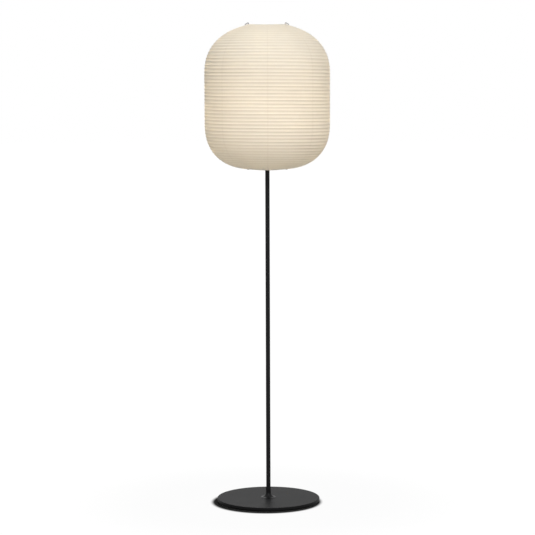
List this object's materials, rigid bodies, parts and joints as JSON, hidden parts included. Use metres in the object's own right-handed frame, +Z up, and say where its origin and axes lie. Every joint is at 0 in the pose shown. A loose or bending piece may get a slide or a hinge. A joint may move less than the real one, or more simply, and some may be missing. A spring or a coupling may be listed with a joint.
{
  "type": "paper lantern floor lamp",
  "caption": "Floor lamp: a ribbed paper lantern on a wire frame around a screw-in bulb, on a slim black pole with a trumpet foot and a round flat base.",
  "frame": {"origin": "centre of the base's underside, on the floor, on the pole's axis", "axes": "+Z up along the pole; the front of the lamp faces -Y and the cord gland is at the back, on +Y; the lantern frame's hooks lie on +X and -X"},
  "size_m": [0.3413, 0.3412, 1.3141],
  "materials": {
    "base_coat": "satin black powder coat on steel",
    "pole_coat": "satin black powder coat on steel tube",
    "pad_foam": "closed-cell foam",
    "gland_plastic": "matt black nylon",
    "zinc_steel": "bright zinc plate",
    "holder_plastic": "matt black thermoplastic",
    "porcelain": "white glazed porcelain",
    "terminal_brass": "stamped brass",
    "shell_nickel": "nickel-plated copper",
    "opal_glass": "white coated glass, lit warm from inside",
    "cap_nickel": "nickel-plated",
    "black_glass": "black insulating glass",
    "solder_tin": "soft solder",
    "clear_glass": "clear pressed glass",
    "phosphor": "phosphor coat, lit",
    "frame_zinc": "galvanised steel wire and plate",
    "lantern_paper": "warm white fibre paper on a wound wire, lit from inside"
  },
  "bodies": {
    "stand": {"base_plate": "base_coat", "base_pad": "pad_foam", "cord_gland": "gland_plastic", "base_nut": "zinc_steel", "base_washer": "zinc_steel", "base_nipple": "zinc_steel", "stem_foot": "pole_coat", "lower_tube": "pole_coat", "pole_joiner": "zinc_steel", "upper_tube": "pole_coat", "top_nipple": "zinc_steel", "holder_cap": "holder_plastic", "holder_grub_screw": "zinc_steel", "terminal_block": "porcelain", "wire_terminals": "terminal_brass", "terminal_screws": "zinc_steel", "holder_sleeve": "holder_plastic", "screw_shell": "shell_nickel", "centre_contact": "terminal_brass"},
    "lantern": {"frame_carrier": "frame_zinc", "frame_upright_left": "frame_zinc", "frame_upright_right": "frame_zinc", "top_rim_wire": "frame_zinc", "bottom_rim_wire": "frame_zinc", "paper_lantern": "lantern_paper"},
    "clamp": {"clamp_ring": "holder_plastic"},
    "bulb": {"bulb_globe": "opal_glass", "bulb_cap": "cap_nickel", "bulb_insulator": "black_glass", "bulb_button": "solder_tin", "bulb_stem": "clear_glass", "bulb_filaments": "phosphor"}
  },
  "joints": [
    {"name": "lantern_turn", "type": "hinge", "parent": "stand", "child": "lantern", "pos_m": [0, 0, 1.0226], "axis": [0, 0, 1], "continuous": true},
    {"name": "clamp_unscrew", "type": "slide", "parent": "stand", "child": "clamp", "axis": [0, 0, 1], "range_m": [0, 0.019]},
    {"name": "bulb_lift", "type": "slide", "parent": "stand", "child": "bulb", "axis": [0, 0, 1], "range_m": [0, 0.3]}
  ]
}
